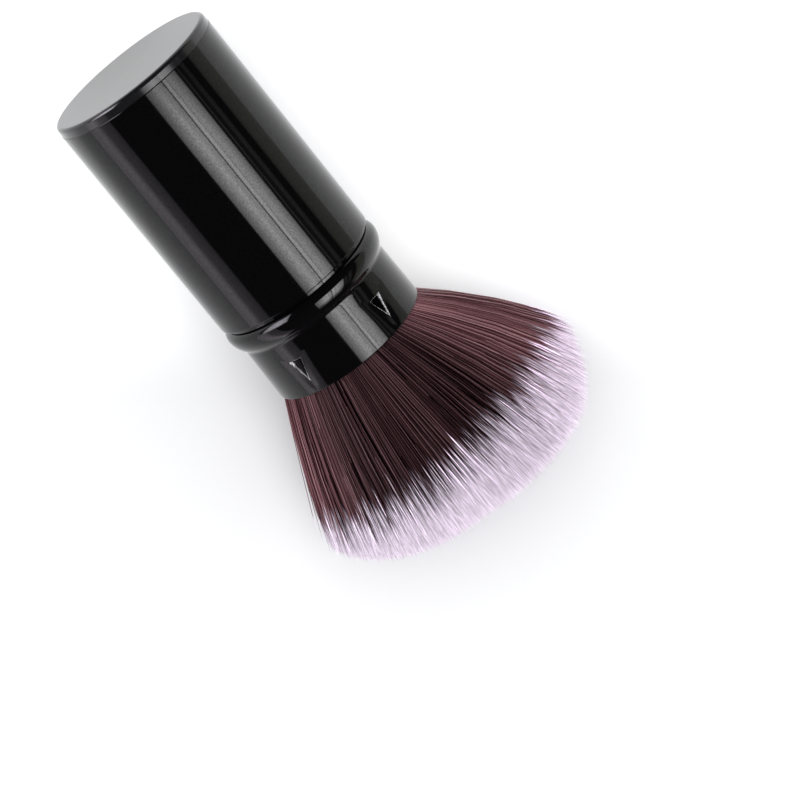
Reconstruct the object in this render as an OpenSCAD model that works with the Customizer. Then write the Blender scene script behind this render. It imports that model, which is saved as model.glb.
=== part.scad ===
// Kabuki makeup brush: a short metal handle, a rolled and staked ferrule, and a wide domed tuft.
// It lies on its side. +X runs along its axis from the flat base face to the tips, +Z is up,
// and the origin is the middle of the base face. Everything is in millimetres.

/* [Handle] */
// Outer diameter of the handle's tube
tube_d = 28; // [26:0.5:32]
// Wall of the tube
tube_wall = 0.6; // [0.5:0.1:0.8]
// Distance from the base face to the tube's mouth
mouth_x = 40.4; // [38:0.2:60]
// Radius of the lip that is rolled in at the tube's mouth
lip_r = 0.5; // [0.3:0.1:0.5]

/* [Base] */
// Thickness of the base cap's plate
base_plate = 1.6; // [1.2:0.1:2.4]
// How far the base cap stays inside the tube's outer surface
base_inset = 0.1; // [0.1:0.05:0.3]
// Radius of the rounded edge of the base cap
base_round = 0.6; // [0.3:0.1:1]
// Length of the ring that is pressed into the tube
plug_len = 6; // [4:0.5:9]
// Wall of that ring
plug_wall = 1.2; // [0.8:0.1:2]
// Diameter of the steel weight
weight_d = 14; // [8:1:20]
// Length of the steel weight
weight_len = 16; // [8:1:20]

/* [Ferrule] */
// Distance from the tube's mouth to the ferrule's rim
ferrule_len = 14.1; // [13:0.1:18]
// Gap between the tube's mouth and the rolled bead
bead_gap = 0.4; // [0.2:0.05:0.6]
// How far the bead stands out from the tube
bead_proud = 0.25; // [0.1:0.05:0.5]
// Radius of the bead's nose, beside the tube
bead_nose = 1.6; // [1.2:0.1:2]
// Radius of the bead's long back, towards the rim
bead_back = 3.5; // [3:0.1:4.5]
// Radius of the hollow flare from that back to the collar
bead_flare = 1; // [0.8:0.1:2]
// Diameter of the collar beside the bead
collar_d = 26.3; // [26:0.1:26.6]
// Diameter of the collar just behind its rim
rim_d = 26.7; // [26.4:0.1:27]
// Sheet thickness of the ferrule
ferrule_wall = 0.4; // [0.35:0.05:0.45]
// Length of the skirt that runs back inside the tube
skirt_len = 7; // [5:0.5:10]

/* [Stakes] */
// How many dents lock the ferrule
stake_count = 5; // [3:1:6]
// Distance from the rim to the sharp edge of a dent
stake_back = 6.4; // [6:0.1:7]
// Length of a dent from its sharp edge to its point
stake_len = 3.7; // [3:0.1:4]
// Width of the sharp edge
stake_w = 2.4; // [2:0.1:3]
// Depth of a dent at its sharp edge
stake_depth = 0.7; // [0.5:0.05:0.7]
// Turn of the first dent from the top of the brush towards +Y
stake_turn = 35; // [0:1:72]

/* [Knot] */
// Distance from the rim down to the knot cup's edge
cup_drop = 2.4; // [2.2:0.1:2.6]
// Depth of the knot cup, floor included
cup_len = 10; // [9:0.5:11]
// Wall of the knot cup
cup_wall = 1.05; // [1:0.05:1.2]
// Floor of the knot cup
cup_floor = 1.6; // [1.2:0.1:2.4]
// Distance from the rim down to the roots of the bristles
root_drop = 4; // [3.5:0.1:4.5]
// Thickness of the slice of resin that the bristles are moulded into
slice_t = 0.7; // [0.5:0.1:1]

/* [Bristles] */
// Rings of bristles round the axis, 396 strands at 11
tuft_rings = 11; // [10:1:12]
// Height of the dome above the rim
tuft_h = 34.8; // [30:0.2:38]
// Reach of the tuft to the full side, +Y
reach_full = 28.4; // [24:0.2:32]
// Reach of the tuft to the lean side, -Y
reach_lean = 22.2; // [18:0.2:24]
// Reach of the tuft upwards
reach_top = 20.5; // [18:0.5:26]
// Height of the outermost tips above the rim on the lean side
edge_lean = 25; // [20:0.5:28]
// Height of the outermost tips above the rim on the full side
edge_full = 20.5; // [18:0.5:26]
// How square the dome is on the lean side
dome_lean = 3; // [2:0.2:5]
// How square the dome is on the full side
dome_full = 9; // [3:0.5:10]
// Outward bow of the strands on the lean side
bow_lean = 0.2; // [0:0.05:0.4]
// Outward bow of the strands on the full side
bow_full = 0.35; // [0:0.05:0.5]

/* [Hidden] */
$fn = 96;

// Radial clearance between pieces that slide into each other
fit = 0.05;
tube_r = tube_d / 2;
bore_r = tube_r - tube_wall;
rim_x = mouth_x + ferrule_len;
bead_x = mouth_x + bead_gap;
bead_r = tube_r + bead_proud;
crown_x = bead_x + bead_nose;
// Steepest angle of the bead's back, where it turns into the flare
bead_slope = acos(1 - (bead_r - collar_d / 2) / (bead_back + bead_flare));
collar_x = crown_x + (bead_back + bead_flare) * sin(bead_slope);
skirt_x = mouth_x - skirt_len;
skirt_r = bore_r - fit;
skirt_in = skirt_r - ferrule_wall;
collar_in = collar_d / 2 - ferrule_wall;
rim_in = rim_d / 2 - ferrule_wall;
cup_x = rim_x - cup_drop - cup_len;
cup_r = collar_in - fit;
cup_in = cup_r - cup_wall;
root_x = rim_x - root_drop;
root_r = cup_in - 2 * fit;
plug_in = bore_r - fit - plug_wall;
// Where the tuft leaves the ferrule, its outer strands pass this far inside the rim's bore
rim_clear = 0.2;
exit_r = rim_in - rim_clear;
// The brush lies on its bead, so the tuft is pressed flat at the bead's height
reach_floor = bead_r - 0.3;
stake_x = rim_x - stake_back;
stake_r = (collar_d + rim_d) / 4;
stake_tilt = atan(stake_depth / stake_len);
// Sections of one strand after its root: share of the way from the rim to the tip, and how much
// of the strand's own share of the room it fills there
strand_at = [0, 0.45, 1];
strand_fill = [0.8, 0.72, 0.3];
SECTIONS = len(strand_at);
// How far a tip wanders from its regular place: along the axis, across, and up or down
wander = [1.1, 0.45, 0.2];

// Points of an arc about a centre, from one angle to another
function arc(centre, r, from, to, steps = 8) =
    [for (i = [0:steps]) let (a = from + (to - from) * i / steps) centre + r * [cos(a), sin(a)]];

// A profile drawn as [radius, distance from the base face], turned about the brush's axis
module turned() {
    rotate([0, 90, 0]) rotate_extrude() children();
}

// A plain round piece between two distances from the base face
module turned_block(from, to, r) {
    turned() translate([0, from]) square([r, to - from]);
}

// The tube of the handle, with its mouth rolled in
module handle_shell() {
    color([0.03, 0.03, 0.035]) turned() polygon(concat(
        [[bore_r, base_plate], [tube_r, base_plate]],
        arc([tube_r - lip_r, mouth_x - lip_r], lip_r, 0, 90),
        [[bore_r, mouth_x]]));
}

// The flat cap that closes the handle, with the ring that is pressed into the tube
module base_cap() {
    cap_r = tube_r - base_inset;
    color([0.04, 0.04, 0.045]) turned() difference() {
        polygon(concat(
            [[0, 0]],
            arc([cap_r - base_round, base_round], base_round, -90, 0),
            [[cap_r, base_plate], [bore_r - fit, base_plate],
                [bore_r - fit, base_plate + plug_len], [0, base_plate + plug_len]]));
        translate([0, base_plate]) square([plug_in, plug_len + 1]);
    }
}

// The moulded body inside the tube: it carries the base cap, the ferrule's skirt and the knot cup
module handle_core() {
    step_x = base_plate + plug_len;
    color([0.16, 0.16, 0.17]) turned() difference() {
        polygon([
            [0, base_plate], [plug_in - fit, base_plate], [plug_in - fit, step_x],
            [bore_r - fit, step_x], [bore_r - fit, skirt_x],
            [skirt_in - fit, skirt_x], [skirt_in - fit, bead_x], [collar_in - fit, bead_x + 1],
            [collar_in - fit, cup_x], [0, cup_x]]);
        translate([0, base_plate - 1]) square([weight_d / 2 + fit, weight_len + 1]);
    }
}

// The steel slug that keeps the standing brush from tipping
module base_weight() {
    color([0.55, 0.56, 0.58]) turned_block(base_plate, base_plate + weight_len, weight_d / 2);
}

// The plan of a dent, a triangle with its sharp edge at the origin and its point along +X
module stake_plan(grow) {
    polygon([[-grow, -stake_w / 2 - grow], [-grow, stake_w / 2 + grow],
        [stake_len / cos(stake_tilt) + 2 * grow, 0]]);
}

// A tilted wedge for every dent: depth is measured from the collar's outer surface
module stakes(depth, grow) {
    for (i = [0:stake_count - 1]) {
        rotate([-stake_turn + 360 * i / stake_count, 0, 0])
            translate([stake_x, 0, stake_r - depth])
                rotate([0, -stake_tilt, 0])
                    linear_extrude(height = depth + 2) stake_plan(grow);
    }
}

// Everything that the dents push inwards, down to the back of the sheet
module stake_backs(depth, grow) {
    intersection() {
        stakes(depth, grow);
        turned_block(stake_x - 2, rim_x, (stake_r + collar_in) / 2);
    }
}

// One surface of the rolled bead from its nose to the collar, this far below its outside
function bead_line(depth) =
    let (nose = bead_nose - depth, throat = acos((skirt_r - depth - bead_r + bead_nose) / nose))
    concat(
        arc([bead_r - bead_nose, crown_x], nose, -throat, 0, 6),
        arc([bead_r - bead_back, crown_x], bead_back - depth, 2, bead_slope, 8),
        arc([collar_d / 2 + bead_flare, collar_x], bead_flare + depth, 180 + bead_slope, 180, 5));

// The sheet metal of the ferrule: skirt, rolled bead, collar and rounded rim
module ferrule_sheet() {
    inside = bead_line(ferrule_wall);
    turned() polygon(concat(
        [[skirt_in, skirt_x], [skirt_r, skirt_x]],
        bead_line(0),
        arc([rim_d / 2 - ferrule_wall / 2, rim_x - ferrule_wall / 2], ferrule_wall / 2, 0, 180, 8),
        [for (i = [len(inside) - 1:-1:0]) inside[i]]));
}

// The ferrule, locked on the knot cup by triangular dents
module ferrule() {
    color([0.03, 0.03, 0.035]) difference() {
        union() {
            ferrule_sheet();
            stake_backs(stake_depth + ferrule_wall, ferrule_wall / 2);
        }
        stakes(stake_depth, 0);
    }
}

// The moulded cup that holds the knot, with a recess for every dent
module knot_cup() {
    color([0.12, 0.12, 0.13]) difference() {
        turned() difference() {
            translate([0, cup_x]) square([cup_r, cup_len]);
            translate([0, cup_x + cup_floor]) square([cup_in, cup_len]);
        }
        stake_backs(stake_depth + ferrule_wall + fit, ferrule_wall / 2 + fit);
    }
}

// The cast resin under the roots
module knot_resin() {
    color([0.35, 0.25, 0.12]) turned_block(cup_x + cup_floor, root_x - slice_t, cup_in - fit);
}

// The roots sit on a net of triangles: ring k has 6k corners, and the first corner lies on +Y
function corner_count(k) = k == 0 ? 1 : 6 * k;
function corner_index(k, j) = k == 0 ? 0 : 1 + 3 * k * (k - 1) + j % corner_count(k);
function corner(k, j) =
    let (turn = 360 * j / corner_count(k))
    root_r * k / tuft_rings * [cos(turn), sin(turn)];

// Distance of a tip above the rim, for a root at (a, b) on the unit disc
function tip_height(a, b) =
    let (full = max(0, a), rho = norm([a, b]),
        edge = edge_lean - (edge_lean - edge_full) * full,
        square_off = dome_lean + (dome_full - dome_lean) * full)
    tuft_h - (tuft_h - edge) * pow(rho, square_off);

// Share of the splay that a strand has made at a share t of its way from the rim (0) to its tip (1)
function splay(a, t) = t * (1 + (bow_lean + (bow_full - bow_lean) * max(0, a)) * (1 - t));

// Place across the tuft, for a root at u from -1 to 1 between a reach down and a reach up
function across(u, reach_down, reach_up, out) =
    u * (exit_r + ((reach_up + reach_down) / 2 + u * (reach_up - reach_down) / 2 - exit_r) * out);

// How much that place stretches the net of roots
function stretch(u, reach_down, reach_up, out) =
    (exit_r + ((reach_up + reach_down) / 2 + u * (reach_up - reach_down) - exit_r) * out) / root_r;

// A steady spread of values from -1 to 1, so that no two neighbouring tips line up
function scatter(m, salt) = 2 * (m * salt % 1) - 1;

// Middle of strand m at a share t of its way, for a root at (a, b) on the unit disc
function strand_point(m, a, b, t) =
    let (out = splay(a, t))
    [rim_x + t * (tip_height(a, b) - wander[0] * abs(scatter(m, 0.618))),
        across(a, reach_lean, reach_full, out) + t * t * wander[1] * scatter(m, 0.755),
        across(b, reach_floor, reach_top, out) + t * t * wander[2] * scatter(m, 0.57)];

// Corners of the root triangle of strand i in sector s of ring k, anticlockwise seen from the tips
function root_corners(k, s, i) = [[k, s * k + i], [k, s * k + i + 1], [k - 1, s * (k - 1) + i]];

// The three points of each section of strand m
function strand_points(m, corners) =
    let (flat = [for (c = corners) corner(c[0], c[1])],
        middle = (flat[0] + flat[1] + flat[2]) / 3,
        a = middle[0] / root_r, b = middle[1] / root_r)
    [for (q = [0:SECTIONS - 1], p = flat)
        let (out = splay(a, strand_at[q]), arm = strand_fill[q] * (p - middle))
        strand_point(m, a, b, strand_at[q])
            + [0, arm[0] * stretch(a, reach_lean, reach_full, out),
                arm[1] * stretch(b, reach_floor, reach_top, out)]];

// The faces between two triangles of points, seen from outside
function wall_faces(low, high) = [for (e = [0:2]) let (n = (e + 1) % 3)
    each [[low[e], high[e], high[n]], [low[e], high[n], low[n]]]];

// The tuft: every strand grows out of its own triangle of the net, fused to the slice of resin below
module bristle_tuft() {
    strands = [for (k = [1:tuft_rings], s = [0:5], i = [0:k - 1]) root_corners(k, s, i)];
    between = [for (k = [2:tuft_rings], s = [0:5], i = [0:k - 2])
        [corner_index(k - 1, s * (k - 1) + i), corner_index(k - 1, s * (k - 1) + i + 1),
            corner_index(k, s * k + i + 1)]];
    net = [for (k = [0:tuft_rings], j = [0:corner_count(k) - 1]) concat([root_x], corner(k, j))];
    edge_count = corner_count(tuft_rings);
    first_strand = len(net);
    first_edge = first_strand + 3 * SECTIONS * len(strands);
    underside = [for (j = [0:edge_count - 1]) concat([root_x - slice_t], corner(tuft_rings, j))];
    centre = first_edge + edge_count;
    color([0.13, 0.06, 0.07]) polyhedron(
        points = concat(net, [for (m = [0:len(strands) - 1]) each strand_points(m, strands[m])], underside,
            [[root_x - slice_t, 0, 0]]),
        faces = concat(between,
            [for (m = [0:len(strands) - 1])
                let (base = first_strand + 3 * SECTIONS * m,
                    root = [for (c = strands[m]) corner_index(c[0], c[1])],
                    levels = concat([root], [for (q = [0:SECTIONS - 1])
                        [for (e = [0:2]) base + 3 * q + e]]),
                    tip = levels[SECTIONS])
                each concat([for (q = [0:SECTIONS - 1]) each wall_faces(levels[q], levels[q + 1])],
                    [[tip[0], tip[2], tip[1]]])],
            [for (j = [0:edge_count - 1])
                let (n = (j + 1) % edge_count,
                    high = [corner_index(tuft_rings, j), corner_index(tuft_rings, n)],
                    low = [first_edge + j, first_edge + n])
                each [[low[0], high[0], high[1]], [low[0], high[1], low[1]],
                    [centre, low[0], low[1]]]]));
}

handle_shell();
base_cap();
handle_core();
base_weight();
ferrule();
knot_cup();
knot_resin();
bristle_tuft();
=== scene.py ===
"""A kabuki makeup brush lying on a white table, under softboxes and glowing sheets.

The handle, ferrule and base cap are turned from profiles, the ferrule is dented by its stakes, and
the tuft is tens of thousands of fine tapered fibres. Every size comes from the loaded frame or from
a named value in millimetres.
"""

from __future__ import annotations

import logging
import math
from dataclasses import dataclass, field, replace
from enum import Enum

import bmesh
import bpy
import numpy as np
from mathutils import Matrix, Vector
from mathutils.kdtree import KDTree

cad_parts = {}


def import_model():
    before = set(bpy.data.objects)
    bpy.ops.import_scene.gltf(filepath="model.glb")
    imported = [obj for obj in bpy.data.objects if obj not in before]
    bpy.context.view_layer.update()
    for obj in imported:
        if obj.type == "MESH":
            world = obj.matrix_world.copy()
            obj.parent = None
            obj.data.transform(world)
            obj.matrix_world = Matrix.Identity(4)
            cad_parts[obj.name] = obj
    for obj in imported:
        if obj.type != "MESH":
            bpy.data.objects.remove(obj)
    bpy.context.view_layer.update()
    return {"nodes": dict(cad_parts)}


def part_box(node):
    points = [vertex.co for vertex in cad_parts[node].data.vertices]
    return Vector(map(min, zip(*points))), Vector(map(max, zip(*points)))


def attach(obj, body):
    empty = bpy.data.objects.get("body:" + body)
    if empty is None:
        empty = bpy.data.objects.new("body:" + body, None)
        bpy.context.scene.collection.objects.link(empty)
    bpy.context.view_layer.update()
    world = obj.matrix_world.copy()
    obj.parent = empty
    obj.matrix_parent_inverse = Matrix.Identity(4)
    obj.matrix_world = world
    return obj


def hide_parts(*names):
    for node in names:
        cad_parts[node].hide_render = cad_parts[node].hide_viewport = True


LOG = logging.getLogger("kabuki_brush")
MM = 0.001
BODY = "root"
GOLDEN = 0.6180339887  # Golden ratio: steps of this size fill 0 to 1 evenly.
WHITE = (1.0, 1.0, 1.0)

Point = tuple[float, float]
Colour = tuple[float, float, float]
Socket = bpy.types.NodeSocket


class Slot(Enum):
    """Material slots of the record."""

    HANDLE = "handle_lacquer"
    FERRULE = "ferrule_lacquer"
    CAP = "cap_plastic"
    CORE = "core_plastic"
    WEIGHT = "weight_steel"
    RESIN = "resin"
    BRISTLES = "bristles"


@dataclass(frozen=True)
class BrushFrame:
    """Driving places of the brush in millimetres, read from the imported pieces.

    Attributes:
        base_x: Flat base face.
        plate_x: Where the base cap's plate ends and the tube begins.
        mouth_x: Mouth of the tube.
        skirt_x: Back end of the ferrule's skirt inside the tube.
        rim_x: Rim of the ferrule, where the fibres leave it.
        root_x: Roots of the fibres.
        tip_x: Furthest tip.
        tube_r: Outer radius of the tube.
        cap_r: Outer radius of the base cap.
        bead_r: Outer radius of the rolled bead.
        table_z: Height of the table top, below the axis.
    """

    base_x: float
    plate_x: float
    mouth_x: float
    skirt_x: float
    rim_x: float
    root_x: float
    tip_x: float
    tube_r: float
    cap_r: float
    bead_r: float
    table_z: float

    @classmethod
    def read(cls) -> BrushFrame:
        """Reads the places from the frame's boxes.

        Returns:
            The places in millimetres.
        """
        shell_lo, shell_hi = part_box("handle_shell")
        cap_lo, cap_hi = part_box("base_cap")
        ferrule_lo, ferrule_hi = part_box("ferrule")
        resin_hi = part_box("knot_resin")[1]
        tuft_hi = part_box("bristle_tuft")[1]
        lowest = min(corner[2] for corner in (shell_lo, cap_lo, ferrule_lo))
        return cls(
            base_x=cap_lo[0] / MM,
            plate_x=shell_lo[0] / MM,
            mouth_x=shell_hi[0] / MM,
            skirt_x=ferrule_lo[0] / MM,
            rim_x=ferrule_hi[0] / MM,
            root_x=resin_hi[0] / MM,
            tip_x=tuft_hi[0] / MM,
            tube_r=shell_hi[2] / MM,
            cap_r=cap_hi[2] / MM,
            bead_r=ferrule_hi[2] / MM,
            table_z=lowest / MM,
        )


def arc(centre: Point, radius: float, start: float, end: float, steps: int = 8) -> list[Point]:
    """Points of an arc in a profile's (along, out) plane.

    Args:
        centre: Centre of the arc.
        radius: Radius in millimetres.
        start: First angle in degrees, where 0 points along the axis and 90 points outwards.
        end: Last angle in degrees.
        steps: How many pieces the arc has.

    Returns:
        The points from start to end.
    """
    angles = [math.radians(start + (end - start) * i / steps) for i in range(steps + 1)]
    return [(centre[0] + radius * math.cos(a), centre[1] + radius * math.sin(a)) for a in angles]


def placed(name: str, data: bpy.types.ID) -> bpy.types.Object:
    """Puts a new object into the scene.

    Args:
        name: Its name.
        data: Its mesh, lamp or camera data.

    Returns:
        The linked object.
    """
    thing = bpy.data.objects.new(name, data)
    bpy.context.scene.collection.objects.link(thing)
    return thing


def object_from(mesh_source: bmesh.types.BMesh, name: str, sharp: float = 35.0) -> bpy.types.Object:
    """Makes a smooth-shaded object from a bmesh and frees the bmesh.

    Args:
        mesh_source: The bmesh, in metres.
        name: Name of the piece.
        sharp: Edges that bend more than this many degrees stay sharp.

    Returns:
        The linked object.
    """
    mesh = bpy.data.meshes.new(name)
    mesh_source.to_mesh(mesh)
    mesh_source.free()
    mesh.shade_smooth()
    mesh.set_sharp_from_angle(angle=math.radians(sharp))
    return placed(name, mesh)


def held(profile: list[Point], long: float = 0.8, near: float = 0.03) -> list[Point]:
    """Adds a point close to both ends of every long stretch, so that smooth shading stays flat on it.

    Args:
        profile: Points of a closed profile.
        long: Stretches longer than this get the points.
        near: Distance of the added points from the ends.

    Returns:
        The denser profile.
    """
    dense = []
    for start, end in zip(profile, profile[1:] + profile[:1]):
        dense.append(start)
        run = math.dist(start, end)
        if run > long:
            along, out = end[0] - start[0], end[1] - start[1]
            for share in (near / run, 1 - near / run):
                dense.append((start[0] + along * share, start[1] + out * share))
    return dense


def turned(profile: list[Point], steps: int, sectors: int = 10) -> bmesh.types.BMesh:
    """Spins a closed profile about the brush's axis, one sector first and then its copies.

    Args:
        profile: (along, out) points in millimetres, in order round the section.
        steps: How many pieces the turn has, a multiple of the sectors.
        sectors: How many equal sectors the turn has.

    Returns:
        The closed surface of revolution, in metres.
    """
    shape = bmesh.new()
    verts = [shape.verts.new((x * MM, 0.0, r * MM)) for x, r in held(profile)]
    edges = [shape.edges.new((verts[i - 1], verts[i])) for i in range(len(verts))]
    about = {"cent": (0.0, 0.0, 0.0), "axis": (1.0, 0.0, 0.0), "dvec": (0.0, 0.0, 0.0)}
    sector = math.tau / sectors
    bmesh.ops.spin(shape, geom=verts + edges, angle=sector, steps=steps // sectors, **about)
    first = shape.verts[:] + shape.edges[:] + shape.faces[:]
    rest = sector * (sectors - 1)
    bmesh.ops.spin(shape, geom=first, angle=rest, steps=sectors - 1, use_duplicate=True, **about)
    bmesh.ops.remove_doubles(shape, verts=shape.verts, dist=1e-7)
    bmesh.ops.dissolve_degenerate(shape, edges=shape.edges, dist=1e-8)
    bmesh.ops.recalc_face_normals(shape, faces=shape.faces)
    return shape


class NodeTree:
    """Short calls for building a shader tree."""

    def __init__(self, tree: bpy.types.NodeTree) -> None:
        """Keeps the tree.

        Args:
            tree: A material's or a group's node tree.
        """
        self.tree = tree

    def add(self, kind: str, **settings: object) -> bpy.types.Node:
        """Adds a node.

        Args:
            kind: The node's type name.
            **settings: Properties of the node, or values of its input sockets by name.

        Returns:
            The new node.
        """
        node = self.tree.nodes.new(kind)
        for key, value in settings.items():
            if hasattr(node, key):
                setattr(node, key, value)
            else:
                node.inputs[key.replace("_", " ")].default_value = value
        return node

    def link(self, source: Socket, target: Socket) -> None:
        """Links two sockets.

        Args:
            source: An output socket.
            target: An input socket.
        """
        self.tree.links.new(source, target)

    def math(self, operation: str, *values: Socket | float, clamped: bool = False) -> Socket:
        """Adds a math node.

        Args:
            operation: What it does with its values.
            *values: Output sockets or numbers.
            clamped: Whether the result stays between 0 and 1.

        Returns:
            The result's socket.
        """
        node = self.add("ShaderNodeMath", operation=operation, use_clamp=clamped)
        for socket, value in zip(node.inputs, values):
            if isinstance(value, (int, float)):
                socket.default_value = value
            else:
                self.link(value, socket)
        return node.outputs[0]

    def times(self, first: Socket, second: Socket | float) -> Socket:
        """Multiplies two values."""
        return self.math("MULTIPLY", first, second)

    def span(self, value: Socket, low: float, high: float) -> Socket:
        """Maps 0 to 1 onto low to high.

        Args:
            value: The output socket that holds the value.
            low: Result at 0.
            high: Result at 1.

        Returns:
            The result's socket.
        """
        node = self.add("ShaderNodeMapRange", To_Min=low, To_Max=high)
        self.link(value, node.inputs["Value"])
        return node.outputs["Result"]

    def mix(self, share: Socket, first: Socket | Colour, second: Socket | Colour) -> Socket:
        """Mixes two colours.

        Args:
            share: Share of the second colour.
            first: A colour or an output socket.
            second: A colour or an output socket.

        Returns:
            The mixed colour's socket.
        """
        node = self.add("ShaderNodeMix", data_type="RGBA")
        ends = [socket for socket in node.inputs if socket.type == "RGBA"]
        for socket, colour in zip(ends, (first, second)):
            if isinstance(colour, tuple):
                socket.default_value = (*colour, 1.0)
            else:
                self.link(colour, socket)
        self.link(share, node.inputs["Factor"])
        return next(socket for socket in node.outputs if socket.type == "RGBA")

    def attribute(self, name: str) -> Socket:
        """Reads a number that the mesh carries."""
        return self.add("ShaderNodeAttribute", attribute_name=name).outputs["Fac"]

    def place(self) -> Socket:
        """Reads the place on the object."""
        return self.add("ShaderNodeTexCoord").outputs["Object"]

    def noise(self, place: Socket, **settings: float) -> bpy.types.Node:
        """Adds a noise texture.

        Args:
            place: Where it is read.
            **settings: Values of its input sockets by name.

        Returns:
            The texture's node.
        """
        node = self.add("ShaderNodeTexNoise", **settings)
        self.link(place, node.inputs["Vector"])
        return node


def blank_material(name: str) -> tuple[bpy.types.Material, NodeTree, bpy.types.Node]:
    """Makes a material with a plain shader.

    Args:
        name: Name of the material.

    Returns:
        The material, its tree and its shader.
    """
    made = bpy.data.materials.new(name)
    made.use_nodes = True
    return made, NodeTree(made.node_tree), made.node_tree.nodes["Principled BSDF"]


def handling_group() -> bpy.types.NodeTree:
    """Builds the marks of handling that the hard pieces share, once.

    Returns:
        A group with inputs Smudge Scale and Scratch Scale, and outputs Smudge, Scratch, Ripple and Dust.
    """
    name = "handling_marks"
    if name in bpy.data.node_groups:
        return bpy.data.node_groups[name]
    group = bpy.data.node_groups.new(name, "ShaderNodeTree")
    for label in ("Smudge Scale", "Scratch Scale"):
        group.interface.new_socket(label, in_out="INPUT", socket_type="NodeSocketFloat")
    tree = NodeTree(group)
    entry, leave = tree.add("NodeGroupInput"), tree.add("NodeGroupOutput")
    place = tree.place()

    smudge = tree.noise(place, Detail=4.0, Roughness=0.6, Distortion=0.4)
    tree.link(entry.outputs["Smudge Scale"], smudge.inputs["Scale"])
    along = tree.add("ShaderNodeMapping", Scale=(0.12, 1.0, 1.0), Rotation=(0.0, 0.2, 0.35))
    tree.link(place, along.inputs["Vector"])
    grain = tree.noise(along.outputs["Vector"], Detail=2.0, Roughness=0.5, Distortion=0.2)
    tree.link(entry.outputs["Scratch Scale"], grain.inputs["Scale"])
    scratch = tree.add("ShaderNodeValToRGB")
    scratch.color_ramp.elements[0].position = 0.66
    scratch.color_ramp.elements[1].position = 0.72
    tree.link(grain.outputs["Fac"], scratch.inputs["Fac"])
    ripple = tree.noise(place, Scale=420.0, Detail=1.0, Roughness=0.4)
    dust = tree.noise(place, Scale=5200.0, Detail=2.0, Roughness=0.8)

    marks = {"Smudge": smudge, "Scratch": scratch, "Ripple": ripple, "Dust": dust}
    for label, node in marks.items():
        group.interface.new_socket(label, in_out="OUTPUT", socket_type="NodeSocketFloat")
        tree.link(node.outputs[0], leave.inputs[label])
    return group


@dataclass(frozen=True)
class WornGlintEdge:
    """The worn edge of a dent, where the punch has broken the lacquer, painted bright so that the
    bare metal also stands in for the highlight on the bent edge.

    It reads three attributes: dent_u and dent_v are the distances in millimetres from the middle of
    the dent's sharp edge, towards the rim and round the collar, and dent_near is 1 round a dent.

    Attributes:
        length: From the sharp edge of the dent to its point, in millimetres.
        width: Of the sharp edge.
        line: Half the width of the worn line, in millimetres.
        jag: How far the line strays from the edge.
        chips: Gain and offset that turn flaking noise into chips.
        faint: Wear and painted highlight between the chips.
        well: Gain and offset that turn the distance inside the edge into a well of painted shade.
        dim: Share of its reflections that the painted shade takes away.
        bare_glint: Colour of the bare metal, light enough to be a painted highlight as well.
        bare_rough: Roughness of the bare metal.
    """

    length: float
    width: float
    line: float = 0.11
    jag: float = 0.11
    chips: Point = (6.0, -2.6)
    faint: float = 0.28
    well: Point = (8.0, 0.2)
    dim: float = 0.86
    bare_glint: Colour = (0.86, 0.86, 0.88)
    bare_rough: float = 0.42

    def group(self) -> bpy.types.NodeTree:
        """Builds the wear, whose bright line is also a painted highlight, and the painted shade inside.

        Returns:
            A group with the outputs Worn Glint and Painted Shade.
        """
        group = bpy.data.node_groups.new("worn_edge", "ShaderNodeTree")
        for label in ("Worn Glint", "Inside"):
            group.interface.new_socket(label, in_out="OUTPUT", socket_type="NodeSocketFloat")
        tree = NodeTree(group)
        leave = tree.add("NodeGroupOutput")
        u, v, near = (tree.attribute(f"dent_{axis}") for axis in ("u", "v", "near"))
        place = tree.place()
        strays = tree.noise(place, Scale=3200.0, Detail=2.0, Roughness=0.7).outputs["Fac"]
        flake = tree.noise(place, Scale=1500.0, Detail=1.0).outputs["Fac"]

        half, slope = self.width / 2, math.hypot(self.length, self.width / 2)
        from_side = tree.math("MULTIPLY_ADD", u, -half / slope, half * self.length / slope)
        beside = tree.times(tree.math("ABSOLUTE", v), -self.length / slope)
        inside = tree.math("MINIMUM", u, tree.math("ADD", from_side, beside))
        jagged = tree.math("ADD", inside, tree.span(strays, -self.jag, self.jag))
        off_line = tree.math("ABSOLUTE", jagged)
        # The worn line is bare metal, painted bright so that it also stands in for the highlight on the
        # bent edge.
        line = tree.math("SUBTRACT", 1.0, tree.times(off_line, 1 / self.line), clamped=True)
        chips = tree.math("MULTIPLY_ADD", flake, *self.chips, clamped=True)
        worn_glint = tree.times(tree.times(line, tree.span(chips, self.faint, 1.0)), near)
        tree.link(worn_glint, leave.inputs["Worn Glint"])
        # Painted shade: inside the edge the dent loses its reflections, as if it lay in shadow.
        well = tree.math("MULTIPLY_ADD", inside, *self.well, clamped=True)
        tree.link(tree.times(well, near), leave.inputs["Inside"])
        return group


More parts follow.
